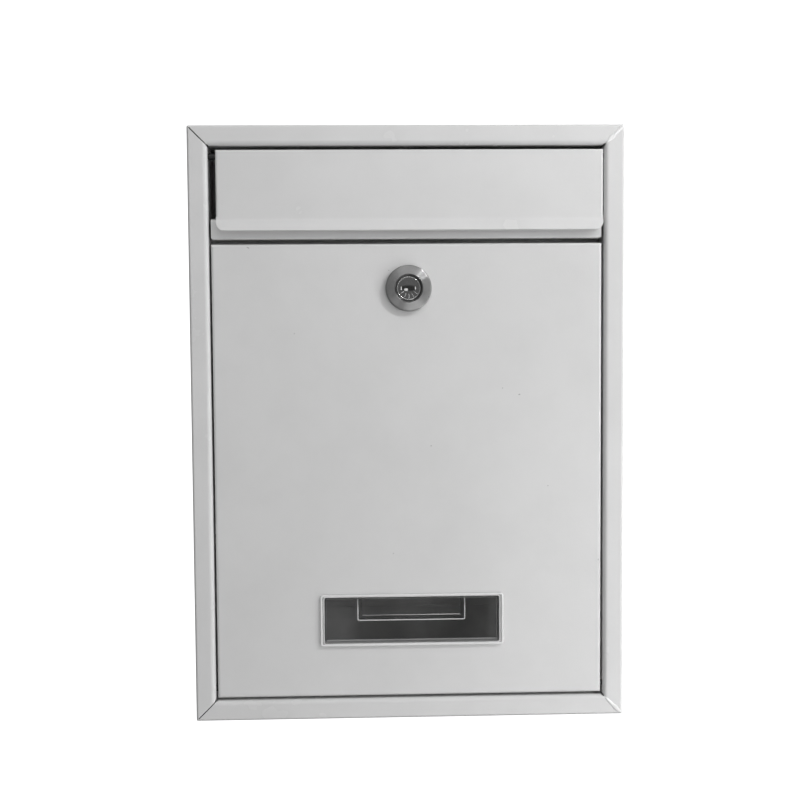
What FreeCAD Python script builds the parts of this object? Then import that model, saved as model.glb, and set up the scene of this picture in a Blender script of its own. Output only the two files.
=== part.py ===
import FreeCAD, Part
import math
import os

# Wall mounted mailbox of folded sheet steel: a top-hinged letter flap, a bottom-hinged door
# with a cam lock and a nameplate window.
# Millimetres. +X is to the viewer's right, +Z is up, the back plane is y = 0 and the front is -Y.
# The origin is the centre of the four wall screws on the back plane.

V = FreeCAD.Vector
X_AXIS = V(1, 0, 0)
Y_AXIS = V(0, 1, 0)

# Case
WIDTH = 218.0
HEIGHT = 300.0
DEPTH = 70.0
SHEET = 0.8
FRAME_WIDTH = 10.0          # face frame, from the outer wall to the opening
RETURN_DEPTH = 17.0         # lip turned back from the frame into the opening
OUTER_BEND = 1.2
OPENING_BEND = 2.4
CORNER_RADIUS = 1.2
MITRE_GAP = 0.5
RELIEF_RADIUS = 0.6

# Back sheet and its wall screws
BACK_RIM = 9.0
BACK_BEND = 1.0
SCREW_SPACING_X = 130.0
SCREW_SPACING_Z = 150.0
SCREW_HOLE_R = 2.5
BEAD_WIDTH = 9.0
BEAD_DEPTH = 1.2
BEAD_LENGTH = 150.0
BEAD_Z = 112.0

# Bar between the letter slot and the door
BAR_FRONT = 2.4             # its face lies this far behind the frame
BAR_TOP = 104.0
BAR_BOTTOM = 93.7
BAR_DEPTH = 19.0
BAR_END_GAP = 1.1
BAR_CORNER = 1.2
BAR_STOP_DROP = 5.2         # stop flange at the bar's rear, behind the door's top edge
BAR_STOP_BEND = 0.6
BAR_BEND_TOP = 1.7
BAR_BEND_BOTTOM = 1.2

# Letter flap
FLAP_FRONT = 0.8
FLAP_LEFT_GAP = 3.8
FLAP_RIGHT_GAP = 0.5
FLAP_TOP_GAP = 2.0
FLAP_RIM = 6.0
FLAP_BEND = 1.1
LIP_BEND_Z = 103.3
LIP_BOTTOM_Z = 98.0
LIP_ANGLE = 36.0            # outwards from the face
LIP_CORNER = 5.0
LIP_BEND = 2.2
FLAP_PIN_R = 1.5
FLAP_PIN_BACK = 3.4         # hinge axis behind the flap's face
FLAP_PIN_DOWN = 3.0         # and below its top edge

# Door
DOOR_FRONT = 1.4
DOOR_SIDE_GAP = 1.0
DOOR_TOP = 91.3
DOOR_BOTTOM_GAP = 1.4
DOOR_RIM = 18.0
DOOR_BEND = 1.4
DOOR_PIN_R = 1.5
DOOR_PIN_BACK = 3.0         # ahead of the door's centre of mass, so that it rests shut
DOOR_PIN_UP = 4.4
DOOR_RELIEF = 2.2

# Hinge pins
PIN_PLAY = 0.05
PIN_PAST_WALL = 1.6
PIN_HEAD_STEP = 0.3
PIN_HEAD_THICK = 1.0

# Cam lock
LOCK_X = 0.4
LOCK_Z = 69.0
BEZEL_R = 11.6
BEZEL_THICK = 3.8
BEZEL_ROUND = 1.0
BEZEL_CONE = 0.8            # drop of the face from the dish's edge to the rim
BARREL_R = 9.25
BARREL_FLAT = 8.0
BARREL_LENGTH = 20.0
BORE_R = 6.5
PLUG_R = 6.45
PLUG_SUNK = 1.1             # plug's face behind the bezel's face
DISH_R = 7.2
KEYWAY_LENGTH = 7.6
KEYWAY_WIDTH = 1.5
KEYWAY_DEPTH = 12.5
PLUG_RIBS = 7
STUB_SIDE = 7.0
HOLE_PLAY = 0.1
NUT_FLATS = 24.0
NUT_THICK = 4.0
WASHER_R = 12.2
WASHER_THICK = 0.8
STOP_R = 7.0
STOP_THICK = 0.9
STOP_HALF_ANGLE = 14.0
STOP_SLACK = 3.0
LOCK_TURN = 90.0
CAM_THICK = 1.8
CAM_WIDTH = 14.0
CAM_REACH = 32.0
CAM_TIP_WIDTH = 11.0
CAM_WASHER_R = 6.0
CAM_WASHER_THICK = 1.0
SCREW_R = 2.1
SCREW_HEAD_R = 4.4
SCREW_HEAD_THICK = 2.6
SCREW_GRIP = 9.0
WAFER_COUNT = 5
WAFER_PITCH = 1.9
WAFER_THICK = 0.9
WAFER_SLOT_HALF = 3.2

# Nameplate
PLATE_X = 1.1
PLATE_Z = -99.3
PLATE_WIDTH = 93.6
PLATE_HEIGHT = 26.6
PLATE_PROUD = 1.2
PLATE_CORNER = 2.0
WINDOW_WIDTH = 89.4
WINDOW_HEIGHT = 24.0
WINDOW_CORNER = 1.2
COVER_WALL = 1.0
COVER_DEPTH = 3.0           # behind the door's face
COVER_PLAY = 0.2
SEAT_GAP = 0.08             # between a plastic part and the face it is pressed on
BACKER_THICK = 2.0
THUMB_X = 0.9
THUMB_WIDTH = 54.8
THUMB_BOTTOM = -100.2
THUMB_STEP = 2.2            # the notch is this much smaller in the plate's rear half
THUMB_CORNER = 0.6

# Places worked out from the driving sizes
FRONT_Y = -DEPTH
HALF_W = WIDTH / 2
HALF_H = HEIGHT / 2
OPEN_X = HALF_W - FRAME_WIDTH
OPEN_Z = HALF_H - FRAME_WIDTH
INNER_X = HALF_W - SHEET
INNER_Z = HALF_H - SHEET
RETURN_Y = FRONT_Y + RETURN_DEPTH
BAR_Y = FRONT_Y + BAR_FRONT
FLAP_Y = FRONT_Y + FLAP_FRONT
FLAP_X0 = -OPEN_X + FLAP_LEFT_GAP
FLAP_X1 = OPEN_X - FLAP_RIGHT_GAP
FLAP_TOP = OPEN_Z - FLAP_TOP_GAP
FLAP_AXIS_Y = FLAP_Y + FLAP_PIN_BACK
FLAP_AXIS_Z = FLAP_TOP - FLAP_PIN_DOWN
DOOR_Y = FRONT_Y + DOOR_FRONT
DOOR_X = OPEN_X - DOOR_SIDE_GAP
DOOR_BOTTOM = -OPEN_Z + DOOR_BOTTOM_GAP
DOOR_AXIS_Y = DOOR_Y + DOOR_PIN_BACK
DOOR_AXIS_Z = DOOR_BOTTOM + DOOR_PIN_UP
DOOR_BACK = DOOR_Y + SHEET
BEZEL_Y = DOOR_Y - BEZEL_THICK
BARREL_Y = DOOR_Y + BARREL_LENGTH
STOP_Y = BARREL_Y + 0.15
CAM_Y = STOP_Y + STOP_THICK + 0.1
CAM_BACK = CAM_Y + CAM_THICK
SCREW_Y = CAM_BACK + CAM_WASHER_THICK
EPS = 1.0                   # how far a cutting tool runs past the faces it cuts


# ---------------------------------------------------------------- shapes

def box(x0, x1, y0, y1, z0, z1):
    return Part.makeBox(x1 - x0, y1 - y0, z1 - z0, V(x0, y0, z0))


def rod_y(radius, y0, y1, x=0.0, z=0.0):
    return Part.makeCylinder(radius, y1 - y0, V(x, y0, z), Y_AXIS)


def rod_x(radius, x0, x1, y, z):
    return Part.makeCylinder(radius, x1 - x0, V(x0, y, z), X_AXIS)


def rounded_bar_y(x0, x1, z0, z1, y0, y1, radius):
    """A block along Y whose four long edges are rounded."""
    block = box(x0, x1, y0, y1, z0, z1)
    edges = [e for e in block.Edges if abs(e.BoundBox.YLength - (y1 - y0)) < 1e-6]
    return block.makeFillet(radius, edges)


def fillet_front(shape, y, radius, keep=lambda box_: True):
    """Rounds the straight edges that lie in the plane at y."""
    edges = []
    for edge in shape.Edges:
        bound = edge.BoundBox
        if abs(bound.YMin - y) < 1e-6 and abs(bound.YMax - y) < 1e-6 and keep(bound):
            edges.append(edge)
    return shape.makeFillet(radius, edges)


def folded_sheet(points, inner_radii, side, to_space, length):
    """Sheet folded along a line of points: one face follows them, the other lies SHEET to one side.

    side is +1 for the left of the line and -1 for its right; inner_radii has one bend a corner."""
    def unit(a, b):
        run = math.hypot(b[0] - a[0], b[1] - a[1])
        return ((b[0] - a[0]) / run, (b[1] - a[1]) / run)

    runs = [unit(a, b) for a, b in zip(points, points[1:])]

    def across(i):
        return (-runs[i][1] * side * SHEET, runs[i][0] * side * SHEET)

    face = [("end", points[0])]
    rear = [("end", (points[0][0] + across(0)[0], points[0][1] + across(0)[1]))]
    for i, inner in enumerate(inner_radii):
        before, after = runs[i], runs[i + 1]
        cross = before[0] * after[1] - before[1] * after[0]
        turn = math.atan2(cross, before[0] * after[0] + before[1] * after[1])
        turns_to_side = cross * side > 0
        face_radius = inner + SHEET if turns_to_side else inner
        back = face_radius * math.tan(abs(turn) / 2)
        corner = points[i + 1]
        start = (corner[0] - before[0] * back, corner[1] - before[1] * back)
        end = (corner[0] + after[0] * back, corner[1] + after[1] * back)
        sign = 1.0 if turn > 0 else -1.0
        centre = (start[0] - before[1] * sign * face_radius, start[1] + before[0] * sign * face_radius)
        bisector = unit(centre, corner)
        rear_radius = inner if turns_to_side else inner + SHEET
        for line, radius, shift_in, shift_out in (
            (face, face_radius, (0, 0), (0, 0)),
            (rear, rear_radius, across(i), across(i + 1)),
        ):
            first = (start[0] + shift_in[0], start[1] + shift_in[1])
            last = (end[0] + shift_out[0], end[1] + shift_out[1])
            middle = (centre[0] + bisector[0] * radius, centre[1] + bisector[1] * radius)
            line.append(("arc", first, middle, last))
    last = len(runs) - 1
    face.append(("end", points[-1]))
    rear.append(("end", (points[-1][0] + across(last)[0], points[-1][1] + across(last)[1])))

    def trace(line):
        edges = []
        here = line[0][1]
        for item in line[1:]:
            edges.append(Part.LineSegment(to_space(here), to_space(item[1])).toShape())
            here = item[1]
            if item[0] == "arc":
                arc = Part.Arc(to_space(item[1]), to_space(item[2]), to_space(item[3]))
                edges.append(arc.toShape())
                here = item[3]
        return edges

    caps = [
        Part.LineSegment(to_space(face[0][1]), to_space(rear[0][1])).toShape(),
        Part.LineSegment(to_space(face[-1][1]), to_space(rear[-1][1])).toShape(),
    ]
    wire = Part.Wire(Part.__sortEdges__(trace(face) + trace(rear) + caps))
    return Part.Face(wire).extrude(length)


def holed(shape, *tools):
    for tool in tools:
        shape = shape.cut(tool)
    return shape


def fused(first, *others):
    for other in others:
        first = first.fuse(other)
    return first.removeSplitter()


# ---------------------------------------------------------------- case

def frame_side(half_run, half_across, turned):
    """One wall of the case with its mitred frame and return, on the low side of X or, turned, of Z."""
    section = [(0, 0), (0, FRONT_Y), (FRAME_WIDTH, FRONT_Y), (FRAME_WIDTH, RETURN_Y)]
    bends = [OUTER_BEND - SHEET, OPENING_BEND - SHEET]

    def to_space(point):
        inward, y = point
        low = inward - half_across
        return V(-half_run, y, low) if turned else V(low, y, -half_run)

    length = V(2 * half_run, 0, 0) if turned else V(0, 0, 2 * half_run)
    wall = folded_sheet(section, bends, 1, to_space, length)
    reach = FRAME_WIDTH + EPS
    outline = [
        (-half_across, -half_run),
        (-half_across, half_run),
        (-half_across + reach, half_run - reach),
        (-half_across + reach, -half_run + reach),
    ]
    corners = []
    for across, along in outline:
        corners.append(V(along, FRONT_Y - EPS, across) if turned else V(across, FRONT_Y - EPS, along))
    mitre = Part.Face(Part.makePolygon(corners + corners[:1]))
    return wall.common(mitre.extrude(V(0, DEPTH + 2 * EPS, 0)))


def hinge_holes(radius, y, z):
    reach = FRAME_WIDTH / 2
    return [
        rod_x(radius, -OPEN_X - reach, -OPEN_X + reach, y, z),
        rod_x(radius, OPEN_X - reach, OPEN_X + reach, y, z),
    ]


def make_body_shell():
    left = frame_side(HALF_H, HALF_W, False)
    bottom = frame_side(HALF_W, HALF_H, True)
    right = left.mirror(V(0, 0, 0), X_AXIS)
    top = bottom.mirror(V(0, 0, 0), V(0, 0, 1))
    shell = fused(left, bottom, right, top)
    envelope = rounded_bar_y(-HALF_W, HALF_W, -HALF_H, HALF_H, FRONT_Y - EPS, EPS, CORNER_RADIUS)
    shell = shell.common(envelope)
    diagonal = FRAME_WIDTH * math.sqrt(2)
    for sx in (-1, 1):
        for sz in (-1, 1):
            saw = box(2 * SHEET, diagonal + EPS, FRONT_Y - EPS, RETURN_Y + EPS, -MITRE_GAP / 2, MITRE_GAP / 2)
            turn = math.degrees(math.atan2(-sz, -sx))
            saw.rotate(V(0, 0, 0), Y_AXIS, -turn)
            saw.translate(V(sx * HALF_W, 0, sz * HALF_H))
            relief = rod_y(RELIEF_RADIUS, FRONT_Y - EPS, RETURN_Y + EPS, sx * OPEN_X, sz * OPEN_Z)
            shell = holed(shell, saw, relief)
    shell = holed(shell, *hinge_holes(FLAP_PIN_R + PIN_PLAY, FLAP_AXIS_Y, FLAP_AXIS_Z))
    return holed(shell, *hinge_holes(DOOR_PIN_R + PIN_PLAY, DOOR_AXIS_Y, DOOR_AXIS_Z))


def back_bead(z, depth, width, y0):
    """A straight pressed bead with round ends, lying across the back sheet."""
    half = BEAD_LENGTH / 2
    return rounded_bar_y(-half, half, z - width / 2, z + width / 2, y0, y0 + depth, width / 2 - 0.01)


def make_back_panel():
    outer = box(-INNER_X, INNER_X, -BACK_RIM, 0, -INNER_Z, INNER_Z)
    outer = fillet_front(outer, 0, BACK_BEND)
    cavity_x = INNER_X - SHEET
    cavity_z = INNER_Z - SHEET
    cavity = box(-cavity_x, cavity_x, -BACK_RIM - EPS, -SHEET, -cavity_z, cavity_z)
    panel = outer.cut(cavity)
    notch = 2 * SHEET
    for sx in (-1, 1):
        for sz in (-1, 1):
            x0, x1 = sorted((sx * (INNER_X + EPS), sx * (INNER_X - notch)))
            z0, z1 = sorted((sz * (INNER_Z + EPS), sz * (INNER_Z - notch)))
            panel = panel.cut(box(x0, x1, -BACK_RIM - EPS, EPS, z0, z1))
    for z in (-BEAD_Z, BEAD_Z):
        panel = panel.fuse(back_bead(z, BEAD_DEPTH, BEAD_WIDTH, -SHEET - BEAD_DEPTH))
        panel = panel.cut(back_bead(z, BEAD_DEPTH, BEAD_WIDTH - 2 * SHEET, -BEAD_DEPTH))
    for sx in (-1, 1):
        for sz in (-1, 1):
            x = sx * SCREW_SPACING_X / 2
            z = sz * SCREW_SPACING_Z / 2
            panel = panel.cut(rod_y(SCREW_HOLE_R, -BACK_RIM, EPS, x, z))
    return panel


def make_slot_crossbar():
    rear = BAR_Y + BAR_DEPTH
    stop = rear - SHEET
    section = [(stop, BAR_BOTTOM - BAR_STOP_DROP), (stop, BAR_BOTTOM), (BAR_Y, BAR_BOTTOM),
               (BAR_Y, BAR_TOP), (rear, BAR_TOP)]
    bends = [BAR_STOP_BEND, BAR_BEND_BOTTOM - SHEET, BAR_BEND_TOP - SHEET]
    bar = folded_sheet(section, bends, -1, lambda p: V(-INNER_X, p[0], p[1]), V(2 * INNER_X, 0, 0))
    shoulder = RETURN_Y + SHEET
    face_half = OPEN_X - BAR_END_GAP
    for sx in (-1, 1):
        x0, x1 = sorted((sx * face_half, sx * (INNER_X + EPS)))
        bar = bar.cut(box(x0, x1, BAR_Y - EPS, shoulder, BAR_BOTTOM - EPS, BAR_TOP + EPS))
        x0, x1 = sorted((sx * INNER_X, sx * (INNER_X - SHEET)))
        bar = bar.fuse(box(x0, x1, shoulder, rear, BAR_BOTTOM + SHEET, BAR_TOP - SHEET))
        x0, x1 = sorted((sx * (face_half - BAR_CORNER), sx * (face_half + EPS)))
        corner = box(x0, x1, BAR_Y - EPS, shoulder, BAR_BOTTOM - EPS, BAR_BOTTOM + BAR_CORNER)
        round_ = rod_y(BAR_CORNER, BAR_Y - EPS, shoulder,
                       sx * (face_half - BAR_CORNER), BAR_BOTTOM + BAR_CORNER)
        bar = bar.cut(corner.cut(round_))
    return bar.removeSplitter()


# ---------------------------------------------------------------- letter flap

def make_flap_panel():
    tray_bottom = BAR_TOP + EPS
    rim_back = FLAP_Y + FLAP_RIM
    tray = box(FLAP_X0, FLAP_X1, FLAP_Y, rim_back, tray_bottom, FLAP_TOP)
    tray = fillet_front(tray, FLAP_Y, FLAP_BEND, lambda b: b.ZMax > tray_bottom + EPS)
    inner = box(FLAP_X0 + SHEET, FLAP_X1 - SHEET, FLAP_Y + SHEET, rim_back + EPS,
                tray_bottom - EPS, FLAP_TOP - SHEET)
    inner = fillet_front(inner, FLAP_Y + SHEET, FLAP_BEND - SHEET, lambda b: b.ZMax > tray_bottom)
    tray = tray.cut(inner)
    drop = LIP_BEND_Z - LIP_BOTTOM_Z
    out = drop * math.tan(math.radians(LIP_ANGLE))
    section = [(FLAP_Y, tray_bottom), (FLAP_Y, LIP_BEND_Z), (FLAP_Y - out, LIP_BOTTOM_Z)]
    lip = folded_sheet(section, [LIP_BEND], 1, lambda p: V(FLAP_X0, p[0], p[1]), V(FLAP_X1 - FLAP_X0, 0, 0))
    sheet_front = FLAP_Y - out - EPS
    for x, side in ((FLAP_X0, 1), (FLAP_X1, -1)):
        x0, x1 = sorted((x - side * EPS, x + side * LIP_CORNER))
        corner = box(x0, x1, sheet_front, rim_back, LIP_BOTTOM_Z - 2 * EPS, LIP_BOTTOM_Z + LIP_CORNER)
        round_ = rod_y(LIP_CORNER, sheet_front, rim_back,
                       x + side * LIP_CORNER, LIP_BOTTOM_Z + LIP_CORNER - SHEET / 2)
        lip = lip.cut(corner.cut(round_))
    flap = fused(tray, lip)
    return holed(flap, rod_x(FLAP_PIN_R, FLAP_X0 - EPS, FLAP_X1 + EPS, FLAP_AXIS_Y, FLAP_AXIS_Z))


def hinge_pin(radius, inner_face, side, y, z):
    """Rivet pin: its head bears on the inside of the folded edge, its shank ends past the frame's return."""
    tip = side * (OPEN_X + SHEET + PIN_PAST_WALL)
    shank = rod_x(radius, min(inner_face, tip), max(inner_face, tip), y, z)
    tip_edge = [e for e in shank.Edges if abs(e.BoundBox.Center.x - tip) < 1e-6 and e.BoundBox.XLength < 1e-6]
    shank = shank.makeChamfer(radius * 0.25, tip_edge)
    head_end = inner_face - side * PIN_HEAD_THICK
    head = rod_x(radius + PIN_HEAD_STEP, min(inner_face, head_end), max(inner_face, head_end), y, z)
    head_edge = [e for e in head.Edges
                 if abs(e.BoundBox.Center.x - head_end) < 1e-6 and e.BoundBox.XLength < 1e-6]
    return fused(head.makeFillet(PIN_HEAD_THICK * 0.5, head_edge), shank)


def make_flap_pin(side):
    inner_face = FLAP_X1 - SHEET if side > 0 else FLAP_X0 + SHEET
    return hinge_pin(FLAP_PIN_R, inner_face, side, FLAP_AXIS_Y, FLAP_AXIS_Z)


# ---------------------------------------------------------------- door

def make_door_panel():
    rim_back = DOOR_Y + DOOR_RIM
    tray = box(-DOOR_X, DOOR_X, DOOR_Y, rim_back, DOOR_BOTTOM, DOOR_TOP)
    tray = fillet_front(tray, DOOR_Y, DOOR_BEND)
    inner = box(-DOOR_X + SHEET, DOOR_X - SHEET, DOOR_BACK, rim_back + EPS,
                DOOR_BOTTOM + SHEET, DOOR_TOP - SHEET)
    inner = fillet_front(inner, DOOR_BACK, DOOR_BEND - SHEET)
    tray = tray.cut(inner)
    for sx in (-1, 1):
        for z, sz in ((DOOR_BOTTOM, -1), (DOOR_TOP, 1)):
            x0, x1 = sorted((sx * (DOOR_X - DOOR_RELIEF), sx * (DOOR_X + EPS)))
            z0, z1 = sorted((z - sz * DOOR_RELIEF, z + sz * EPS))
            tray = tray.cut(box(x0, x1, DOOR_Y + DOOR_BEND, rim_back + EPS, z0, z1))
    lock_hole = rod_y(BARREL_R + HOLE_PLAY, DOOR_Y - EPS, DOOR_BACK + EPS, LOCK_X, LOCK_Z)
    lock_hole = lock_hole.common(lock_flats(BARREL_FLAT + HOLE_PLAY))
    window = rounded_bar_y(
        PLATE_X - WINDOW_WIDTH / 2, PLATE_X + WINDOW_WIDTH / 2,
        PLATE_Z - WINDOW_HEIGHT / 2, PLATE_Z + WINDOW_HEIGHT / 2,
        DOOR_Y - EPS, DOOR_BACK + EPS, WINDOW_CORNER)
    pins = rod_x(DOOR_PIN_R, -DOOR_X - EPS, DOOR_X + EPS, DOOR_AXIS_Y, DOOR_AXIS_Z)
    return holed(tray, lock_hole, window, pins)


def make_door_pin(side):
    return hinge_pin(DOOR_PIN_R, side * (DOOR_X - SHEET), side, DOOR_AXIS_Y, DOOR_AXIS_Z)


def make_nameplate_cover():
    half_w, half_h = PLATE_WIDTH / 2, PLATE_HEIGHT / 2
    rim = rounded_bar_y(PLATE_X - half_w, PLATE_X + half_w, PLATE_Z - half_h, PLATE_Z + half_h,
                        DOOR_Y - PLATE_PROUD, DOOR_Y - SEAT_GAP, PLATE_CORNER)
    rim = fillet_front(rim, DOOR_Y - PLATE_PROUD, PLATE_PROUD / 2)
    boss_w = WINDOW_WIDTH / 2 - COVER_PLAY
    boss_h = WINDOW_HEIGHT / 2 - COVER_PLAY
    boss_back = DOOR_Y + COVER_DEPTH
    boss = rounded_bar_y(PLATE_X - boss_w, PLATE_X + boss_w, PLATE_Z - boss_h, PLATE_Z + boss_h,
                         DOOR_Y - SEAT_GAP, boss_back, WINDOW_CORNER - COVER_PLAY)
    pocket = box(PLATE_X - boss_w + COVER_WALL, PLATE_X + boss_w - COVER_WALL,
                 DOOR_Y - PLATE_PROUD + COVER_WALL, boss_back + EPS,
                 PLATE_Z - boss_h + COVER_WALL, PLATE_Z + boss_h - COVER_WALL)
    cover = fused(rim, boss).cut(pocket)
    barb_half = 4.0
    for sx in (-1, 1):
        for sz in (-0.5, 0.5):
            x = PLATE_X + sx * boss_w
            z = PLATE_Z + sz * boss_h
            x0, x1 = sorted((x - sx * COVER_WALL / 2, x + sx * COVER_WALL))
            barb = box(x0, x1, DOOR_BACK + COVER_PLAY, boss_back, z - barb_half / 2, z + barb_half / 2)
            cover = cover.fuse(barb)
    return cover.removeSplitter()


def make_nameplate_back():
    half_w = WINDOW_WIDTH / 2 + COVER_WALL
    half_h = WINDOW_HEIGHT / 2 + COVER_WALL
    front = DOOR_Y + COVER_DEPTH + SEAT_GAP
    plate = rounded_bar_y(PLATE_X - half_w, PLATE_X + half_w, PLATE_Z - half_h, PLATE_Z + half_h,
                          front, front + BACKER_THICK, PLATE_CORNER)
    top = PLATE_Z + half_h
    for step, depth in ((0.0, BACKER_THICK / 2), (THUMB_STEP, BACKER_THICK + EPS)):
        half_thumb = THUMB_WIDTH / 2 - step
        thumb = rounded_bar_y(THUMB_X - half_thumb, THUMB_X + half_thumb, THUMB_BOTTOM + step, top + EPS,
                              front - EPS, front + depth, THUMB_CORNER)
        plate = plate.cut(thumb)
    return plate


# ---------------------------------------------------------------- lock

def lock_flats(half_height):
    return box(LOCK_X - 2 * BEZEL_R, LOCK_X + 2 * BEZEL_R, BEZEL_Y, 0,
               LOCK_Z - half_height, LOCK_Z + half_height)


def lock_rod(radius, y0, y1):
    return rod_y(radius, y0, y1, LOCK_X, LOCK_Z)


def sector(radius, y0, y1, from_deg, to_deg):
    """Part of a disc about the lock's axis; angles run from +X towards +Z."""
    slice_ = Part.makeCylinder(radius, y1 - y0, V(0, 0, 0), V(0, 0, 1), to_deg - from_deg)
    slice_.rotate(V(0, 0, 0), V(0, 0, 1), from_deg)
    slice_.rotate(V(0, 0, 0), X_AXIS, 90)
    slice_.translate(V(LOCK_X, y1, LOCK_Z))
    return slice_


def make_lock_housing():
    rim_y = BEZEL_Y + BEZEL_CONE
    bezel = lock_rod(BEZEL_R, rim_y, DOOR_Y)
    bezel = bezel.fuse(Part.makeCone(DISH_R, BEZEL_R, BEZEL_CONE, V(LOCK_X, BEZEL_Y, LOCK_Z), Y_AXIS))
    rim = [e for e in bezel.Edges if abs(e.BoundBox.YMax - rim_y) < 1e-6 and e.BoundBox.YLength < 1e-6]
    bezel = bezel.makeFillet(BEZEL_ROUND, rim)
    barrel = lock_rod(BARREL_R, DOOR_Y, BARREL_Y).common(lock_flats(BARREL_FLAT))
    clear_low = -LOCK_TURN - STOP_HALF_ANGLE - STOP_SLACK
    clear_high = STOP_HALF_ANGLE + STOP_SLACK
    stop_back = STOP_Y + STOP_THICK
    stops = sector(BARREL_R, BARREL_Y, stop_back, clear_high, clear_low + 360)
    stops = stops.common(lock_flats(BARREL_FLAT)).cut(lock_rod(STOP_R + 0.3, BARREL_Y - EPS, stop_back + EPS))
    housing = bezel.fuse(barrel).fuse(stops)
    bore = lock_rod(BORE_R, BEZEL_Y - EPS, BARREL_Y + EPS)
    dish = Part.makeCone(DISH_R, BORE_R, PLUG_SUNK + 0.4, V(LOCK_X, BEZEL_Y, LOCK_Z), Y_AXIS)
    return holed(housing, bore, dish).removeSplitter()


def wafer_y(index):
    return DOOR_Y + 1.5 + index * WAFER_PITCH


def make_lock_plug():
    face = BEZEL_Y + PLUG_SUNK
    plug = lock_rod(PLUG_R, face, BARREL_Y)
    rim = [e for e in plug.Edges if abs(e.BoundBox.YMax - face) < 1e-6]
    plug = plug.makeChamfer(0.4, rim)
    half = STUB_SIDE / 2
    stub = rounded_bar_y(LOCK_X - half, LOCK_X + half, LOCK_Z - half, LOCK_Z + half,
                         BARREL_Y - EPS, CAM_BACK, 0.6)
    keyway = rounded_bar_y(LOCK_X - KEYWAY_LENGTH / 2, LOCK_X + KEYWAY_LENGTH / 2,
                           LOCK_Z - KEYWAY_WIDTH / 2, LOCK_Z + KEYWAY_WIDTH / 2,
                           face - EPS, face + KEYWAY_DEPTH, 0.3)
    warding = box(LOCK_X + 0.6, LOCK_X + 2.0, face - EPS, face + KEYWAY_DEPTH,
                  LOCK_Z - KEYWAY_WIDTH / 2 - 0.6, LOCK_Z)
    plug = holed(plug.fuse(stub), keyway, warding)
    for i in range(WAFER_COUNT):
        y = wafer_y(i)
        slot = box(LOCK_X - PLUG_R, LOCK_X + PLUG_R, y - 0.1, y + WAFER_THICK + 0.1,
                   LOCK_Z - WAFER_SLOT_HALF, LOCK_Z + WAFER_SLOT_HALF)
        plug = plug.cut(slot)
    for i in range(PLUG_RIBS):
        groove = box(2.6, PLUG_R - 0.7, face - EPS, face + 0.35, -0.18, 0.18)
        angle = 200.0 + 140.0 * i / (PLUG_RIBS - 1)
        groove.rotate(V(0, 0, 0), Y_AXIS, -angle)
        groove.translate(V(LOCK_X, 0, LOCK_Z))
        plug = plug.cut(groove)
    return plug.cut(lock_rod(SCREW_R, CAM_BACK - SCREW_GRIP + 2.0, CAM_BACK + EPS))


def make_lock_wafers():
    wafers = []
    for i in range(WAFER_COUNT):
        y = wafer_y(i)
        plate = box(LOCK_X - PLUG_R, LOCK_X + PLUG_R, y, y + WAFER_THICK,
                    LOCK_Z - WAFER_SLOT_HALF + 0.1, LOCK_Z + WAFER_SLOT_HALF - 0.1)
        plate = plate.common(lock_rod(PLUG_R - 0.15, y - EPS, y + 2 * EPS))
        shift = 0.3 * ((i * 2) % WAFER_COUNT - 2)
        key_hole = box(LOCK_X - 3.0 + shift, LOCK_X + 3.0 + shift, y - EPS, y + 2 * EPS,
                       LOCK_Z - 0.9, LOCK_Z + 1.6)
        seat = box(LOCK_X, LOCK_X + 4.4, y - EPS, y + 2 * EPS, LOCK_Z - WAFER_SLOT_HALF, LOCK_Z - 1.9)
        wafers.append(holed(plate, key_hole, seat))
    return Part.makeCompound(wafers)


def make_wafer_springs():
    springs = []
    for i in range(WAFER_COUNT):
        y = wafer_y(i) + WAFER_THICK / 2
        z = LOCK_Z - 2.5
        coil = rod_x(0.45, LOCK_X + 0.1, LOCK_X + 4.3, y, z)
        springs.append(coil.cut(rod_x(0.25, LOCK_X - EPS, LOCK_X + 5.3, y, z)))
    return Part.makeCompound(springs)


def make_lock_washer():
    back = DOOR_BACK + WASHER_THICK
    ring = lock_rod(WASHER_R, DOOR_BACK, back)
    return ring.cut(lock_rod(BARREL_R + HOLE_PLAY, DOOR_BACK - EPS, back + EPS))


def make_lock_nut():
    y0 = DOOR_BACK + WASHER_THICK
    corner = NUT_FLATS / math.sqrt(3)
    points = []
    for i in range(7):
        angle = math.radians(60 * i)
        points.append(V(LOCK_X + corner * math.cos(angle), y0, LOCK_Z + corner * math.sin(angle)))
    hexagon = Part.Face(Part.makePolygon(points)).extrude(V(0, NUT_THICK, 0))
    turned = lock_rod(corner - 0.3, y0 - EPS, y0 + NUT_THICK)
    rim = [e for e in turned.Edges if abs(e.BoundBox.YMin - (y0 + NUT_THICK)) < 1e-6]
    turned = turned.makeChamfer(1.2, rim)
    return hexagon.common(turned).cut(lock_rod(BARREL_R + HOLE_PLAY / 2, y0 - EPS, y0 + NUT_THICK + EPS))


def square_hole(y0, y1):
    half = STUB_SIDE / 2 + HOLE_PLAY / 2
    return box(LOCK_X - half, LOCK_X + half, y0 - EPS, y1 + EPS, LOCK_Z - half, LOCK_Z + half)


def make_stop_plate():
    back = STOP_Y + STOP_THICK
    disc = lock_rod(STOP_R, STOP_Y, back)
    tab = sector(BARREL_R - 0.3, STOP_Y, back, -STOP_HALF_ANGLE, STOP_HALF_ANGLE)
    return fused(disc, tab).cut(square_hole(STOP_Y, back))


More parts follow.
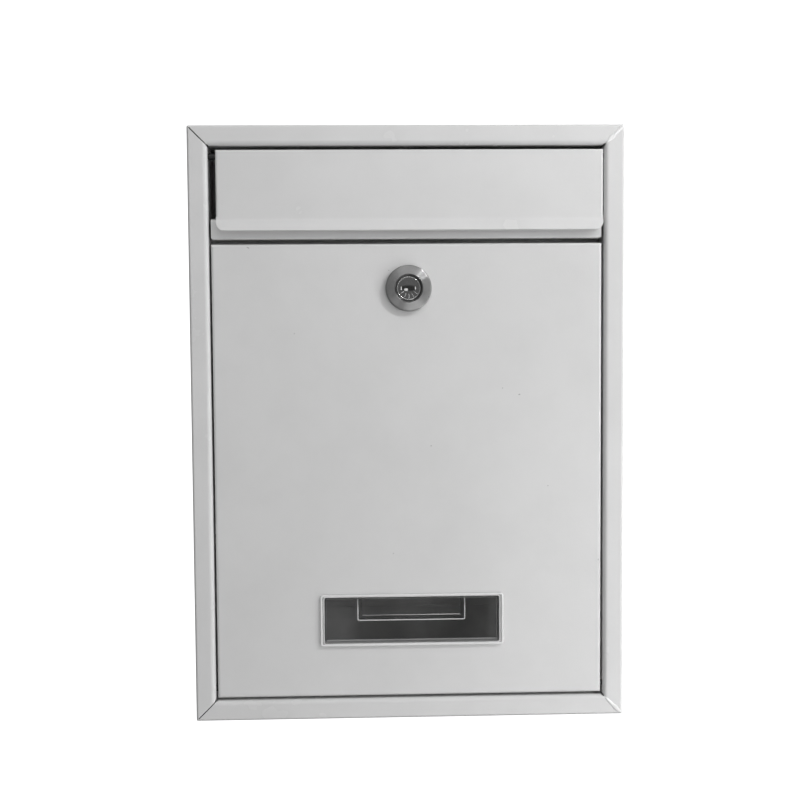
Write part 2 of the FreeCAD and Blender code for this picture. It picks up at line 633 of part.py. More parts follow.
def make_lock_cam():
    hub = lock_rod(CAM_WIDTH / 2, CAM_Y, CAM_BACK)
    tip_x = LOCK_X - CAM_REACH
    hub_half, tip_half = CAM_WIDTH / 2, CAM_TIP_WIDTH / 2
    outline = [
        V(LOCK_X, CAM_Y, LOCK_Z - hub_half),
        V(LOCK_X, CAM_Y, LOCK_Z + hub_half),
        V(tip_x, CAM_Y, LOCK_Z + tip_half),
        V(tip_x, CAM_Y, LOCK_Z - tip_half),
    ]
    arm = Part.Face(Part.makePolygon(outline + outline[:1])).extrude(V(0, CAM_THICK, 0))
    tip_edges = [e for e in arm.Edges
                 if e.BoundBox.XMax < tip_x + 1e-6 and e.BoundBox.YLength > CAM_THICK / 2]
    arm = arm.makeFillet(2.5, tip_edges)
    return fused(hub, arm).cut(square_hole(CAM_Y, CAM_BACK))


def make_cam_washer():
    ring = lock_rod(CAM_WASHER_R, CAM_BACK, SCREW_Y)
    return ring.cut(lock_rod(SCREW_R + HOLE_PLAY, CAM_BACK - EPS, SCREW_Y + EPS))


def make_cam_screw():
    head_back = SCREW_Y + SCREW_HEAD_THICK
    head = lock_rod(SCREW_HEAD_R, SCREW_Y, head_back)
    rim = [e for e in head.Edges if abs(e.BoundBox.YMin - head_back) < 1e-6]
    head = head.makeFillet(1.4, rim)
    shank = lock_rod(SCREW_R, CAM_BACK - SCREW_GRIP + 3.0, SCREW_Y)
    screw = head.fuse(shank)
    for turn in (0, 90):
        blade = box(-2.4, 2.4, head_back - 1.4, head_back + EPS, -0.5, 0.5)
        blade.rotate(V(0, 0, 0), Y_AXIS, turn)
        blade.translate(V(LOCK_X, 0, LOCK_Z))
        screw = screw.cut(blade)
    return screw.removeSplitter()


# ---------------------------------------------------------------- parts

PARTS = {
    "body_shell": make_body_shell,
    "back_panel": make_back_panel,
    "slot_crossbar": make_slot_crossbar,
    "flap_panel": make_flap_panel,
    "flap_pin_left": lambda: make_flap_pin(-1),
    "flap_pin_right": lambda: make_flap_pin(1),
    "door_panel": make_door_panel,
    "door_pin_left": lambda: make_door_pin(-1),
    "door_pin_right": lambda: make_door_pin(1),
    "nameplate_cover": make_nameplate_cover,
    "nameplate_back": make_nameplate_back,
    "lock_housing": make_lock_housing,
    "lock_washer": make_lock_washer,
    "lock_nut": make_lock_nut,
    "lock_plug": make_lock_plug,
    "lock_wafers": make_lock_wafers,
    "wafer_springs": make_wafer_springs,
    "stop_plate": make_stop_plate,
    "lock_cam": make_lock_cam,
    "cam_washer": make_cam_washer,
    "cam_screw": make_cam_screw,
}

os.makedirs("parts", exist_ok=True)
for name, make in PARTS.items():
    shape = make()
    shape.exportStep(f"parts/{name}.step")
    bound = shape.BoundBox
    print(f"{name:16s} solids {len(shape.Solids)} valid {shape.isValid()} volume {shape.Volume:9.1f}"
          f" y {bound.YMin:7.2f} {bound.YMax:7.2f} z {bound.ZMin:8.2f} {bound.ZMax:8.2f}")
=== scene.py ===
import math

import bmesh
import bpy
from mathutils import Matrix, Vector


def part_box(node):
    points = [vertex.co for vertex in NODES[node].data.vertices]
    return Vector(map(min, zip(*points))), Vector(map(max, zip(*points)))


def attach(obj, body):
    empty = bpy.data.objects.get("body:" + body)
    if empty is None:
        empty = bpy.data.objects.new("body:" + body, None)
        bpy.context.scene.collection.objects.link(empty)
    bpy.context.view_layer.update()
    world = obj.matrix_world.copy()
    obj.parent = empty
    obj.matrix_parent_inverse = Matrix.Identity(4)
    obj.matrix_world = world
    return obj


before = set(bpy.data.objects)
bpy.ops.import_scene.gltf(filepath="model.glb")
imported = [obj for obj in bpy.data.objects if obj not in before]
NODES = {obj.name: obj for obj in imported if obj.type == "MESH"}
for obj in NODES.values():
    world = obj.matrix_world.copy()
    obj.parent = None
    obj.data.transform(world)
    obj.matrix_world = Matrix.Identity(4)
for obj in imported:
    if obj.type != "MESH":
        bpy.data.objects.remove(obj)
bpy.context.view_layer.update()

# Wall mounted mailbox: materials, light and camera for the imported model. Metres, +Z up, front at -Y.

CASE_LOW, CASE_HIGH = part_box("body_shell")
CENTRE = (CASE_LOW + CASE_HIGH) / 2
HEIGHT = CASE_HIGH.z - CASE_LOW.z
FRONT_Y = CASE_LOW.y
MM = 0.001

# Camera, relative to the middle of the front frame
CAMERA_LEFT = 0.0273
CAMERA_UP = 0.0556
CAMERA_AWAY = 0.6526
CAMERA_YAW = 2.02
CAMERA_PITCH = -3.738
CAMERA_ROLL = -0.401
CAMERA_LENS = 58.5
SENSOR = 36.0

PAINT_WHITE = (0.80, 0.80, 0.80, 1)
PAINT_SHADE = (0.765, 0.765, 0.765, 1)
# The seam beads' paint is whiter than the case's: a painted highlight
BEAD_HIGHLIGHT_WHITE = (0.97, 0.97, 0.97, 1)
DUST = (0.22, 0.22, 0.22, 1)
EDGE_FROST = 0.55

# Folded frame, as in the CAD
FRAME_WIDTH = 0.010
OUTER_BEND = 0.0012
OPENING_BEND = 0.0024

# Paint in the mitre seams: where it starts and ends across the frame, and its half width, rise and depth
SEAM_START = 0.0005
SEAM_END = FRAME_WIDTH - 0.0006
SEAM_HALF = 0.00105
SEAM_RISE = 0.00034
SEAM_DEPTH = 0.00012

# Thumb notch of the nameplate's back plate, as in the CAD:
# its middle from the plate's middle, half its width, and its floor
THUMB_OFFSET = -0.0002
THUMB_HALF = 0.0274
THUMB_FLOOR = -0.1002

# Moulded ribs round the thumb notch. The upright ones end a little below the plate's top edge
THUMB_RIB_TOP = 0.0012
THUMB_RIB_CORNER = 0.0008
INNER_RIB_INSET = 0.0023
INNER_RIB_LIFT = 0.0026

# Beads of the nameplate cover's flange: name, half width, half height, width and rise in mm
COVER_Z = -0.0993
BEAD_SEAT = 0.00002
BEAD_CORNER = 0.0012
COVER_BEADS = (
    ("cover_bead_outer", 46.1, 12.75, 1.0, 0.22),
    ("cover_bead_inner", 44.75, 12.1, 0.35, 0.12),
)

# Relief of the plug's face. The angles of the ribs are in degrees, counter-clockwise from +X
# The rim and ribs are coated in a brighter nickel than the plug, a painted highlight
PLUG_RIM_R = 0.0056
PLUG_RIB_INNER_R = 0.0027
PLUG_RIB_ANGLES = (214, 243, 271, 299, 326)

# Dust shutter, a dark piece that is painted shade over the keyway, and the white pieces that are its painted
# glints: name, centre across and up from the lock's axis, half width, half height, height of the border and
# sink of the middle, all in mm
SHUTTER = ("keyway_shutter_painted_shade", 0.0, 0.0, 3.5, 1.35, 0.05, 0.0)
SHUTTER_GLINTS = (
    ("shutter_leaf_glint", -1.35, -0.75, 0.95, 0.62, 0.28, -0.1),
    ("shutter_end_left_glint", -3.75, 0.0, 0.32, 0.9, 0.25, -0.1),
    ("shutter_end_right_glint", 3.3, 0.0, 0.24, 0.8, 0.25, -0.1),
)
SHUTTER_THICK = 0.15

# Floor: how far it lies below the mailbox, how far back it goes, the radius of its bend and its half width
FLOOR_DROP = 0.35
FLOOR_BACK = 3.0
FLOOR_BEND = 0.55
FLOOR_HALF = 5.0

# Light: the room's brightness from its dark side to its bright side,
# and lamps as name, place, width, height and watts
ROOM_BRIGHT_SIDE = (0.75, -0.3, 0.5)
ROOM_LOW = 0.03
ROOM_HIGH = 0.575
LAMPS = (
    ("key_left", (0.37, -0.47, 0.50), 0.03, 0.04, 0.8),
    ("key_right", (0.50, -0.47, 0.43), 0.03, 0.04, 0.8),
    ("near_strip", (0.30, -0.22, -0.05), 0.04, 0.60, 0.32),
    ("top_strip", (0.05, -0.60, 0.75), 0.90, 0.06, 0.6),
    ("front_high", (0.15, -1.40, 0.45), 0.50, 0.40, 0.6),
    ("front_low", (0.15, -1.30, -0.75), 0.60, 0.40, 1.4),
    ("front_right", (0.40, -1.30, -0.50), 0.50, 0.70, 0.7),
    ("corner_low", (0.33, -0.42, -0.36), 0.16, 0.16, 0.2),
)


# ---------------------------------------------------------------- node helpers

class Nodes:
    """A short way to build one material's node tree."""

    def __init__(self, name):
        self.material = bpy.data.materials.new(name)
        self.material.use_nodes = True
        self.tree = self.material.node_tree
        self.tree.nodes.clear()
        self.output = self.tree.nodes.new("ShaderNodeOutputMaterial")

    def add(self, kind, inputs=None, **settings):
        node = self.tree.nodes.new("ShaderNode" + kind)
        for key, value in settings.items():
            setattr(node, key, value)
        for key, value in (inputs or {}).items():
            self.feed(node.inputs[key], value)
        return node

    def feed(self, socket, value):
        if isinstance(value, bpy.types.NodeSocket):
            self.tree.links.new(value, socket)
        else:
            socket.default_value = value

    def place(self):
        return self.add("TexCoord").outputs["Object"]

    def noise(self, scale, detail=3.0, roughness=0.55, vector=None, **extra):
        node = self.add("TexNoise", {"Scale": scale, "Detail": detail, "Roughness": roughness}, **extra)
        self.feed(node.inputs["Vector"], vector or self.place())
        return node.outputs["Fac"]

    def ramp(self, value, *stops):
        node = self.add("ValToRGB", {"Fac": value})
        elements = node.color_ramp.elements
        while len(elements) < len(stops):
            elements.new(0.5)
        for element, (position, level) in zip(elements, stops):
            element.position = position
            element.color = (level, level, level, 1)
        return node.outputs["Color"]

    def remap(self, value, low, high, to_low, to_high):
        inputs = {"Value": value, "From Min": low, "From Max": high, "To Min": to_low, "To Max": to_high}
        return self.add("MapRange", inputs).outputs["Result"]

    def math(self, operation, a, b=0.0):
        node = self.add("Math", operation=operation)
        self.feed(node.inputs[0], a)
        self.feed(node.inputs[1], b)
        return node.outputs["Value"]

    def mix(self, factor, a, b):
        # A Mix node's colour sockets share their names with others, so they are reached by number
        node = self.add("Mix", data_type="RGBA")
        self.feed(node.inputs[0], factor)
        self.feed(node.inputs[6], a)
        self.feed(node.inputs[7], b)
        return node.outputs[2]

    def bump(self, height, strength, distance, normal=None):
        node = self.add("Bump", {"Height": height, "Strength": strength, "Distance": distance})
        if normal:
            self.feed(node.inputs["Normal"], normal)
        return node.outputs["Normal"]

    def stretched(self, sx, sy, sz):
        inputs = {"Vector": self.place(), "Scale": (sx, sy, sz)}
        return self.add("Mapping", inputs).outputs["Vector"]

    def shader(self, inputs):
        node = self.add("BsdfPrincipled", inputs)
        self.tree.links.new(node.outputs["BSDF"], self.output.inputs["Surface"])
        return node


def dress(material, *names):
    for name in names:
        slots = NODES[name].data.materials
        for index in range(len(slots)):
            slots[index] = material
        if not slots:
            slots.append(material)


# ---------------------------------------------------------------- materials

def powder_coat(name, wave, seed, rough=0.24, white=PAINT_WHITE):
    """Glossy white powder coat on thin sheet: orange peel, a slow waviness of the sheet, smudges and dust."""
    n = Nodes(name)
    moved = n.add("Mapping", {"Vector": n.place(), "Location": (seed, 2 * seed, -seed)}).outputs["Vector"]
    peel = n.noise(900.0, 2.0, 0.5, moved)
    fine = n.noise(2600.0, 1.0, 0.5, moved)
    sheet = n.noise(7.0, 1.0, 0.4, moved)
    smudge = n.noise(30.0, 4.0, 0.6, moved)
    speck = n.noise(430.0, 0.0, 0.0, moved)
    dirt = n.ramp(speck, (0.915, 0.0), (0.93, 1.0))
    tone = n.mix(n.remap(smudge, 0.4, 0.75, 0.0, 1.0), white, PAINT_SHADE)
    tone = n.mix(n.math("MULTIPLY", dirt, 0.5), tone, DUST)
    normal = n.bump(sheet, 1.0, wave)
    normal = n.bump(peel, 0.045, 0.0006, normal)
    normal = n.bump(fine, 0.02, 0.0003, normal)
    n.shader({
        "Base Color": tone, "Roughness": n.remap(smudge, 0.3, 0.75, rough - 0.04, rough + 0.06),
        "Normal": normal, "IOR": 1.5, "Coat Weight": 0.3, "Coat Roughness": 0.06,
    })
    return n.material


def turned_nickel(name, tint, rough, centre, rings, groove, anisotropic):
    """Nickel plate turned on a lathe: fine rings about the lock's axis and faint blotches."""
    n = Nodes(name)
    inputs = {"Vector": n.place(), "Location": tuple(-c for c in centre)}
    local = n.add("Mapping", inputs).outputs["Vector"]
    flat = n.add("VectorMath", {0: local, 1: (1.0, 0.0, 1.0)}, operation="MULTIPLY").outputs["Vector"]
    radius = n.add("VectorMath", {0: flat}, operation="LENGTH").outputs["Value"]
    ring_inputs = {"W": radius, "Scale": rings, "Detail": 2.0}
    ring = n.add("TexNoise", ring_inputs, noise_dimensions="1D").outputs["Fac"]
    blotch = n.noise(240.0, 3.0, 0.6, local)
    tone = n.mix(n.remap(blotch, 0.35, 0.7, 0.0, 1.0), tint, tuple(0.82 * c for c in tint[:3]) + (1,))
    tone = n.mix(n.remap(ring, 0.3, 0.7, 0.0, 0.35), tone, tuple(0.6 * c for c in tint[:3]) + (1,))
    tangent = n.add("Tangent", direction_type="RADIAL", axis="Y").outputs["Tangent"]
    n.shader({
        "Base Color": tone, "Metallic": 1.0, "Roughness": n.remap(blotch, 0.3, 0.7, rough, rough + 0.08),
        "Anisotropic": anisotropic, "Anisotropic Rotation": 0.25, "Tangent": tangent,
        "Normal": n.bump(ring, groove, 0.0001),
    })
    return n.material


def zinc_plate(name, tint=(0.62, 0.63, 0.65, 1)):
    """Bright zinc plate with a cloudy spangle and drawn scratches."""
    n = Nodes(name)
    cloud = n.noise(160.0, 4.0, 0.6)
    scratch = n.noise(420.0, 2.0, 0.5, n.stretched(1.0, 14.0, 5.0))
    tone = n.mix(n.remap(cloud, 0.3, 0.7, 0.0, 1.0), tint, tuple(0.72 * c for c in tint[:3]) + (1,))
    n.shader({
        "Base Color": tone, "Metallic": 1.0, "Roughness": n.remap(cloud, 0.3, 0.7, 0.26, 0.42),
        "Normal": n.bump(scratch, 0.15, 0.0001),
    })
    return n.material


def stamped_wafer():
    """Nickel silver, stamped, with a fine grain."""
    n = Nodes("stamped_wafer")
    grain = n.noise(700.0, 3.0, 0.6)
    tone = n.mix(n.remap(grain, 0.35, 0.65, 0.0, 1.0), (0.66, 0.65, 0.62, 1), (0.46, 0.45, 0.42, 1))
    n.shader({
        "Base Color": tone, "Metallic": 1.0, "Roughness": 0.28, "Normal": n.bump(grain, 0.2, 0.0001),
    })
    return n.material


def clear_plastic(name, passed, haze, scratch, mirrored):
    """Polished clear plastic. Light goes straight through; the surface mirrors more at a slant, by Schlick.

    The edges, which face sideways, are left matt by the mould. Dust and a faint haze lie on the rest."""
    n = Nodes(name)
    hair = n.noise(300.0, 2.0, 0.5, n.stretched(1.0, 1.0, 9.0))
    dust = n.ramp(n.noise(1500.0, 1.0, 0.5), (0.66, 0.0), (0.74, 1.0))
    cloud = n.noise(42.0, 3.0, 0.55)
    normal = n.bump(hair, scratch, 0.00008)
    normal = n.bump(n.noise(60.0, 1.0, 0.5), 0.3, 0.0004, normal)
    tint = n.mix(n.remap(cloud, 0.35, 0.65, 0.0, 1.0), passed, tuple(0.94 * c for c in passed[:3]) + (1,))
    through = n.add("BsdfTransparent", {"Color": tint}).outputs["BSDF"]
    rough = n.math("ADD", n.math("MULTIPLY", dust, 0.2), haze)
    mirror_inputs = {"Color": (1, 1, 1, 1), "Roughness": rough, "Normal": normal}
    mirror = n.add("BsdfGlossy", mirror_inputs).outputs["BSDF"]
    slant = n.add("LayerWeight", {"Blend": 0.5, "Normal": normal}).outputs["Facing"]
    share = n.math("ADD", n.math("MULTIPLY", n.math("POWER", slant, 5.0), 0.96), mirrored)
    glass = n.add("MixShader", {0: share, 1: through, 2: mirror}).outputs["Shader"]
    film = n.add("BsdfDiffuse", {"Color": (0.85, 0.85, 0.85, 1)}).outputs["BSDF"]
    facing = n.add("TexCoord").outputs["Normal"]
    front = n.math("ABSOLUTE", n.add("SeparateXYZ", {"Vector": facing}).outputs["Y"])
    edge = n.remap(front, 0.55, 0.9, EDGE_FROST, 0.002)
    haze_patch = n.remap(n.noise(19.0, 1.0, 0.4), 0.42, 0.62, 0.0, 0.03)
    shade = n.math("ADD", n.math("ADD", n.math("MULTIPLY", dust, 0.02), haze_patch), edge)
    mixed = n.add("MixShader", {0: shade, 1: glass, 2: film}).outputs["Shader"]
    n.tree.links.new(mixed, n.output.inputs["Surface"])
    return n.material


def rib_highlight_plastic():
    """A near-white, opaque stand-in for matt moulded ribs of clear plastic, which scatter the light. Its
    near-white colour is a painted highlight for the light that the clear ribs catch.
    """
    n = Nodes("rib_highlight_plastic")
    grain = n.noise(2400.0, 2.0, 0.5)
    n.shader({
        "Base Color": n.mix(grain, (0.8, 0.8, 0.8, 1), (0.95, 0.95, 0.95, 1)), "IOR": 1.49,
        "Roughness": n.remap(grain, 0.3, 0.7, 0.12, 0.2), "Normal": n.bump(grain, 0.1, 0.0001),
    })
    return n.material


def black_painted_shade():
    """Blackened steel with a fine grain and rubbed patches. Its near-black is painted shade of the keyway's
    recess.
    """
    n = Nodes("black_painted_shade")
    grain = n.noise(900.0, 3.0, 0.6)
    rubbed = n.remap(grain, 0.5, 0.75, 0.0, 1.0)
    n.shader({
        "Base Color": n.mix(rubbed, (0.006, 0.006, 0.006, 1), (0.03, 0.03, 0.03, 1)),
        "Roughness": n.remap(grain, 0.3, 0.7, 0.25, 0.4), "IOR": 1.5, "Normal": n.bump(grain, 0.2, 0.0001),
    })
    return n.material


def lock_axis():
    low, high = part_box("lock_plug")
    return (low + high) / 2


def dress_everything():
    dress(powder_coat("paint_case", 0.0010, 0.0), "body_shell", "back_panel", "slot_crossbar")
    dress(powder_coat("paint_flap", 0.0014, 3.1), "flap_panel")
    dress(powder_coat("paint_door", 0.0022, 7.7, 0.2), "door_panel")
    axis = lock_axis()
    bezel = turned_nickel("nickel_bezel", (0.44, 0.44, 0.44, 1), 0.27, axis, 7000.0, 0.05, 0.97)
    dress(bezel, "lock_housing")
    # The plug's nickel is darker than the bezel's: painted shade for the dark reflection on its face.
    dress(turned_nickel("nickel_plug_painted_shade", (0.20, 0.20, 0.20, 1), 0.16, axis, 5000.0, 0.1, 0.2), "lock_plug")
    dress(stamped_wafer(), "lock_wafers")
    fittings = ("lock_washer", "lock_nut", "stop_plate", "lock_cam", "cam_washer", "cam_screw")
    dress(zinc_plate("zinc_plate"), *fittings)
    dress(zinc_plate("spring_steel", (0.45, 0.45, 0.47, 1)), "wafer_springs")
    pins = ("flap_pin_left", "flap_pin_right", "door_pin_left", "door_pin_right")
    dress(zinc_plate("pin_steel", (0.06, 0.06, 0.06, 1)), *pins)
    dress(clear_plastic("clear_cover", (0.985, 0.985, 0.985, 1), 0.04, 0.06, 0.02), "nameplate_cover")
    # The back plate passes only 0.8 of the light: painted shade that darkens the window over the box's dim
    # inside.
    dress(clear_plastic("clear_back_painted_shade", (0.8, 0.8, 0.8, 1), 0.08, 0.1, 0.008), "nameplate_back")


# ---------------------------------------------------------------- detail pieces

def new_piece(name, vertices, faces, material, body):
    mesh = bpy.data.meshes.new(name)
    mesh.from_pydata(vertices, [], faces)
    mesh.materials.append(material)
    for polygon in mesh.polygons:
        polygon.use_smooth = True
    piece = bpy.data.objects.new(name, mesh)
    bpy.context.scene.collection.objects.link(piece)
    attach(piece, body)
    return piece


def bend_drop(distance, radius):
    """How far a rounded edge lies behind its flat face, at a distance from the edge."""
    inside = min(max(radius - distance, 0.0), radius)
    return radius - math.sqrt(radius * radius - inside * inside)


def seam_vertices(sign, steps, across):
    """Rows of points across one mitre seam: each has a raised front and a flat back, sunk into the sheet."""
    vertices = []
    for i in range(steps + 1):
        t = i / steps
        along = SEAM_START + (SEAM_END - SEAM_START) * t
        taper = math.sin(math.pi * min(max(t, 0.03), 0.97)) ** 0.3
        half = taper * (SEAM_HALF + 0.00025 * math.sin(9.0 * t + sign) + 0.0001 * math.sin(23.0 * t))
        rise = taper * (SEAM_RISE + 0.00005 * math.sin(13.0 * t + 2 * sign))
        for layer in (0, 1):
            for j in range(across + 1):
                u = -1 + 2 * j / across
                offset = u * half / math.sqrt(2)
                from_side, from_end = along + offset, along - offset
                near, far = min(from_side, from_end), FRAME_WIDTH - max(from_side, from_end)
                sheet = FRONT_Y + bend_drop(near, OUTER_BEND) + bend_drop(far, OPENING_BEND)
                y = sheet - rise * (1 - u * u) if layer == 0 else sheet + SEAM_DEPTH
                z = CENTRE.z + sign * (HEIGHT / 2 - from_end)
                vertices.append((CASE_HIGH.x - from_side, y, z))
    return vertices


def seam_bead(name, sign, material):
    """Paint that has filled the mitre seam at one right-hand corner of the front frame. It is whiter than the
    case's paint, a painted highlight along the seam.
    """
    steps, across = 26, 8
    row = 2 * (across + 1)
    ring = list(range(across + 1)) + list(range(row - 1, across, -1))
    faces = []
    for i in range(steps):
        for j in range(row):
            a, b = ring[j], ring[(j + 1) % row]
            faces.append((i * row + a, i * row + b, (i + 1) * row + b, (i + 1) * row + a))
    faces.append(tuple(reversed(ring)))
    faces.append(tuple(steps * row + k for k in ring))
    if sign > 0:
        faces = [tuple(reversed(face)) for face in faces]
    new_piece(name, seam_vertices(sign, steps, across), faces, material, "case")


def rib_vertices(points, width, rise, across, closed):
    """Rows of points across a half-round rib: an arch of across + 1 points, then two at its root."""
    count = len(points)
    root = Vector((0, 0.05 * MM, 0))
    vertices = []
    for i, point in enumerate(points):
        before = points[i - 1] if closed or i else point
        after = points[(i + 1) % count] if closed or i < count - 1 else point
        along = (after - before).normalized()
        side = Vector((along.z, 0, -along.x))
        turn = 1.0
        if closed or 0 < i < count - 1:
            turn = max(0.5, abs((point - before).normalized().dot(along)))
        for j in range(across + 1):
            u = -1 + 2 * j / across
            height = rise * math.sqrt(max(0.0, 1 - u * u))
            vertices.append(point + side * (u * width / 2 / turn) - Vector((0, height, 0)))
        vertices.append(point + side * (width / 2 / turn) + root)
        vertices.append(point - side * (width / 2 / turn) + root)
    return vertices


def half_round(name, path, width, rise, material, body, closed=False):
    """A half-round rib that stands towards -Y on a path of points, which all have the same y."""
    points = [Vector(p) for p in path]
    count, across = len(points), 6
    row = across + 3
    faces = []
    for i in range(count if closed else count - 1):
        k = (i + 1) % count
        for j in range(row):
            m = (j + 1) % row
            faces.append((i * row + j, k * row + j, k * row + m, i * row + m))
    if not closed:
        faces.append(tuple(range(row)))
        faces.append(tuple((count - 1) * row + j for j in reversed(range(row))))
    vertices = rib_vertices(points, width, rise, across, closed)
    outward(new_piece(name, vertices, faces, material, body))


def outward(piece):
    """Turn a closed mesh's faces outwards."""
    work = bmesh.new()
    work.from_mesh(piece.data)
    bmesh.ops.recalc_face_normals(work, faces=work.faces)
    work.to_mesh(piece.data)
    work.free()


def rounded_path(corners, radius, steps=5):
    """Points along a path of straight runs, each inner corner rounded."""
    path = [Vector(corners[0])]
    for before, corner, after in zip(corners, corners[1:], corners[2:]):
        corner = Vector(corner)
        start = corner + (Vector(before) - corner).normalized() * radius
        end = corner + (Vector(after) - corner).normalized() * radius
        for i in range(steps + 1):
            t = i / steps
            path.append(start * (1 - t) ** 2 + corner * (2 * t * (1 - t)) + end * t * t)
    path.append(Vector(corners[-1]))
    return path


def nameplate_ribs(material):
    """Moulded ribs of the clear back plate: one round the thumb notch and a level one above its floor."""
    low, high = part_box("nameplate_back")
    middle = (low.x + high.x) / 2 + THUMB_OFFSET
    top = high.z - THUMB_RIB_TOP
    left, right = middle - THUMB_HALF, middle + THUMB_HALF
    outline = ((left, top), (left, THUMB_FLOOR), (right, THUMB_FLOOR), (right, top))
    outer = rounded_path([(x, low.y, z) for x, z in outline], THUMB_RIB_CORNER)
    half_round("notch_rib_outer", outer, 0.62 * MM, 0.35 * MM, material, "door")
    z = THUMB_FLOOR + INNER_RIB_LIFT
    inner = [(left + INNER_RIB_INSET, low.y, z), (right - INNER_RIB_INSET, low.y, z)]
    half_round("notch_rib_inner", inner, 0.34 * MM, 0.2 * MM, material, "door")


def cover_beads(material):
    """Two moulded beads on the cover's flange: a broad one by its outer edge and a fine one by the window."""
    low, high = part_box("nameplate_cover")
    middle = (low.x + high.x) / 2
    for name, half_x, half_z, width, rise in COVER_BEADS:
        corners = []
        for sx, sz in ((-1, -1), (1, -1), (1, 1), (-1, 1)):
            corners.append((middle + sx * half_x * MM, low.y + BEAD_SEAT, COVER_Z + sz * half_z * MM))
        start = Vector(corners[0]).lerp(Vector(corners[1]), 0.5)
        path = rounded_path([start] + corners[1:] + [corners[0], start], BEAD_CORNER)[:-1]
        half_round(name, path, width * MM, rise * MM, material, "door", closed=True)


def on_plug(radius, turn):
    """A point on the plug's face, at a radius and an angle about the lock's axis."""
    axis = lock_axis()
    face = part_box("lock_plug")[0].y
    return (axis.x + radius * math.cos(turn), face, axis.z + radius * math.sin(turn))


def plug_relief(material):
    """The raised rim and short radial ribs on the lower half of the plug's face, in a nickel brighter than
    the plug's: a painted highlight.
    """
    steps = 64
    rim = [on_plug(PLUG_RIM_R, math.tau * i / steps) for i in range(steps)]
    half_round("plug_rim", rim, 0.4 * MM, 0.2 * MM, material, "plug", closed=True)
    for i, degrees in enumerate(PLUG_RIB_ANGLES):
        ends = [on_plug(radius, math.radians(degrees)) for radius in (PLUG_RIB_INNER_R, PLUG_RIM_R)]
        half_round("plug_rib_%d" % i, ends, 0.5 * MM, 0.28 * MM, material, "plug")


def oval_dish(name, centre_x, centre_z, half_x, half_z, edge, sink, material):
    """A thin oval leaf on the plug's face. Its border stands proud by `edge`, its middle sinks by `sink`."""
    axis = lock_axis()
    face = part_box("lock_plug")[0].y
    rings, around = 6, 40
    vertices = []
    for back in (0.0, SHUTTER_THICK):
        middle = face + (sink - edge + back) * MM
        vertices.append((axis.x + centre_x * MM, middle, axis.z + centre_z * MM))
        for i in range(1, rings + 1):
            r = i / rings
            depth = sink * math.cos(r * math.pi / 2) - edge + back
            for j in range(around):
                turn = math.tau * j / around
                x, z = math.cos(turn), math.sin(turn)
                x = math.copysign(abs(x) ** 0.6, x) * half_x * r + centre_x
                z = math.copysign(abs(z) ** 0.8, z) * half_z * r + centre_z
                vertices.append((axis.x + x * MM, face + depth * MM, axis.z + z * MM))
    faces = dish_faces(rings, around)
    outward(new_piece(name, vertices, faces, material, "plug"))


def dish_faces(rings, around):
    """Faces of two discs, one behind the other and each of rings about a point, and the wall between them."""
    per = 1 + rings * around
    faces = []
    for layer in (0, per):
        for j in range(around):
            faces.append((layer, layer + 1 + j, layer + 1 + (j + 1) % around))
        for i in range(rings - 1):
            for j in range(around):
                a, b = layer + 1 + i * around, layer + 1 + (i + 1) * around
                k = (j + 1) % around
                faces.append((a + j, b + j, b + k, a + k))
    last = 1 + (rings - 1) * around
    for j in range(around):
        k = (j + 1) % around
        faces.append((last + j, per + last + j, per + last + k, last + k))
    return faces


def keyway_shutter_painted_shade(dark, white):
    """The blackened dust shutter over the keyway, whose near-black is painted shade of the keyway's recess.
    Small white pieces are painted glints on its leaves.
    """
    oval_dish(*SHUTTER, dark)
    for glint in SHUTTER_GLINTS:
        oval_dish(*glint, white)


def add_details():
    # The seam beads' whiter paint is a painted highlight.
    bead_highlight_paint = powder_coat("paint_bead_highlight", 0.0004, 5.3, 0.12, BEAD_HIGHLIGHT_WHITE)
    seam_bead("seam_bead_top", 1, bead_highlight_paint)
    seam_bead("seam_bead_bottom", -1, bead_highlight_paint)
    # The notch ribs and cover beads are near-white: painted highlights on the clear plastic.
    rib_highlight = rib_highlight_plastic()
    nameplate_ribs(rib_highlight)
    cover_beads(rib_highlight)
    # The plug's rim and ribs get a brighter nickel than the plug: a painted highlight.
    bright = turned_nickel("nickel_relief_highlight", (0.72, 0.72, 0.72, 1), 0.14, lock_axis(), 5000.0, 0.1, 0.0)
    plug_relief(bright)
    # The shutter's near-black is painted shade; its white leaf and ends are painted glints.
    keyway_shutter_painted_shade(black_painted_shade(), powder_coat("glint_white_paint", 0.0001, 3.1, 0.1))


# ---------------------------------------------------------------- stage

def floor_profile():
    """The floor from the side, as (y, z) points: level in front, then bent upwards behind the mailbox."""
    level = CASE_LOW.z - FLOOR_DROP
    profile = [(-FLOOR_HALF, level), (FLOOR_BACK - FLOOR_BEND, level)]
    steps = 12
    for i in range(1, steps + 1):
        turn = math.pi / 2 * i / steps
        y = FLOOR_BACK - FLOOR_BEND + FLOOR_BEND * math.sin(turn)
        profile.append((y, level + FLOOR_BEND - FLOOR_BEND * math.cos(turn)))
    profile.append((FLOOR_BACK, level + FLOOR_HALF))
    return profile


def floor_white():
    """A matt white that glows a little, so that the backdrop is bright without a lamp of its own."""
    n = Nodes("floor_white")
    mottle = n.remap(n.noise(6.0), 0.3, 0.7, 0.90, 0.93)
    n.shader({
        "Base Color": n.add("CombineColor", {0: mottle, 1: mottle, 2: mottle}).outputs[0],
        "Roughness": 0.9, "Emission Color": (1, 1, 1, 1), "Emission Strength": 0.85,
    })
    return n.material


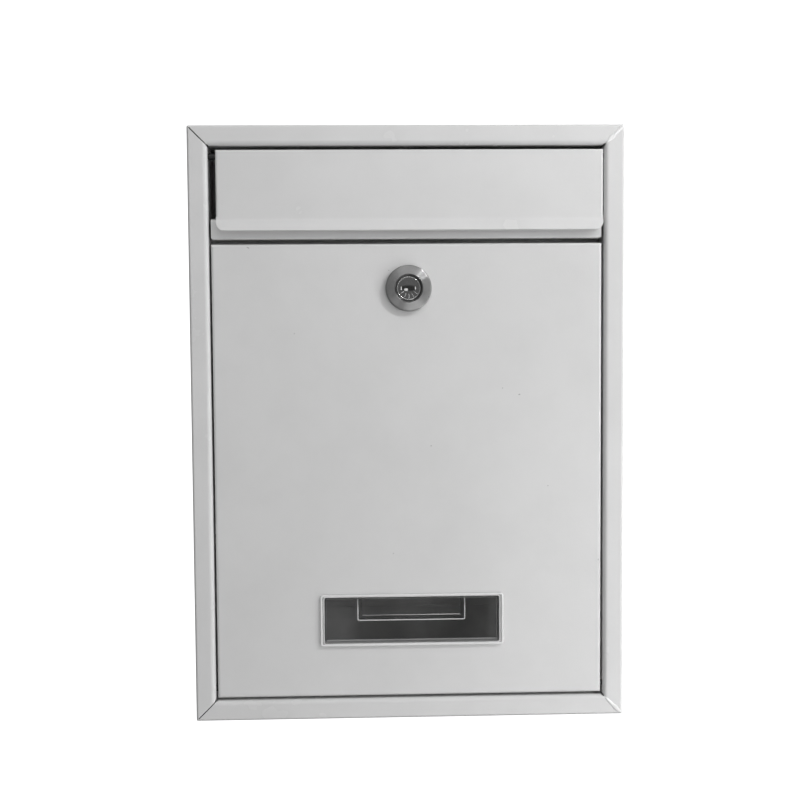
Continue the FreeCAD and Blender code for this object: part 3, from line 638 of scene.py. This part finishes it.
def floor():
    """A pale sweep: level below the mailbox and rising behind it. It adds no light to the object."""
    profile = floor_profile()
    vertices, faces = [], []
    for y, z in profile:
        vertices.append((-FLOOR_HALF, y, z))
        vertices.append((FLOOR_HALF, y, z))
    for i in range(len(profile) - 1):
        faces.append((2 * i, 2 * i + 1, 2 * i + 3, 2 * i + 2))
    mesh = bpy.data.meshes.new("floor")
    mesh.from_pydata(vertices, [], faces)
    mesh.materials.append(floor_white())
    for polygon in mesh.polygons:
        polygon.use_smooth = True
    sweep = bpy.data.objects.new("floor", mesh)
    bpy.context.scene.collection.objects.link(sweep)
    sweep.visible_diffuse = False
    sweep.visible_glossy = False
    sweep.visible_transmission = False


def lamp(name, place, target, width, height, power):
    data = bpy.data.lights.new(name, "AREA")
    data.shape = "RECTANGLE"
    data.size, data.size_y = width, height
    data.energy = power
    item = bpy.data.objects.new(name, data)
    item.location = place
    item.rotation_mode = "QUATERNION"
    item.rotation_quaternion = (Vector(target) - Vector(place)).to_track_quat("-Z", "Y")
    bpy.context.scene.collection.objects.link(item)
    return item


def studio_light():
    """A soft room, brightest at the upper right, and the lamps, which all point at the mailbox."""
    world = bpy.data.worlds.new("studio")
    world.use_nodes = True
    tree = world.node_tree
    place = tree.nodes.new("ShaderNodeTexCoord")
    dot = tree.nodes.new("ShaderNodeVectorMath")
    dot.operation = "DOT_PRODUCT"
    dot.inputs[1].default_value = Vector(ROOM_BRIGHT_SIDE).normalized()
    span = tree.nodes.new("ShaderNodeMapRange")
    ends = {"From Min": -1.0, "From Max": 1.0, "To Min": ROOM_LOW, "To Max": ROOM_HIGH}
    for key, value in ends.items():
        span.inputs[key].default_value = value
    tree.links.new(place.outputs["Generated"], dot.inputs[0])
    tree.links.new(dot.outputs["Value"], span.inputs["Value"])
    tree.links.new(span.outputs["Result"], tree.nodes["Background"].inputs["Strength"])
    tree.nodes["Background"].inputs["Color"].default_value = (1, 1, 1, 1)
    bpy.context.scene.world = world
    for name, spot, width, height, power in LAMPS:
        lamp(name, spot, CENTRE, width, height, power)


def camera():
    data = bpy.data.cameras.new("camera")
    data.sensor_width = SENSOR
    data.lens = CAMERA_LENS
    item = bpy.data.objects.new("camera", data)
    yaw, pitch, roll = (math.radians(a) for a in (CAMERA_YAW, CAMERA_PITCH, CAMERA_ROLL))
    forward = Vector((math.sin(yaw) * math.cos(pitch), math.cos(yaw) * math.cos(pitch), math.sin(pitch)))
    level = Vector((math.cos(yaw), -math.sin(yaw), 0))
    upright = level.cross(forward)
    right = level * math.cos(roll) + upright * math.sin(roll)
    up = upright * math.cos(roll) - level * math.sin(roll)
    turn = Matrix((right, up, -forward)).transposed()
    stand = (CENTRE.x - CAMERA_LEFT, FRONT_Y - CAMERA_AWAY, CENTRE.z + CAMERA_UP)
    item.matrix_world = Matrix.Translation(stand) @ turn.to_4x4()
    bpy.context.scene.collection.objects.link(item)
    bpy.context.scene.camera = item


dress_everything()
add_details()
floor()
studio_light()
camera()
view = bpy.context.scene.view_settings
view.view_transform = "Standard"
view.look = "None"
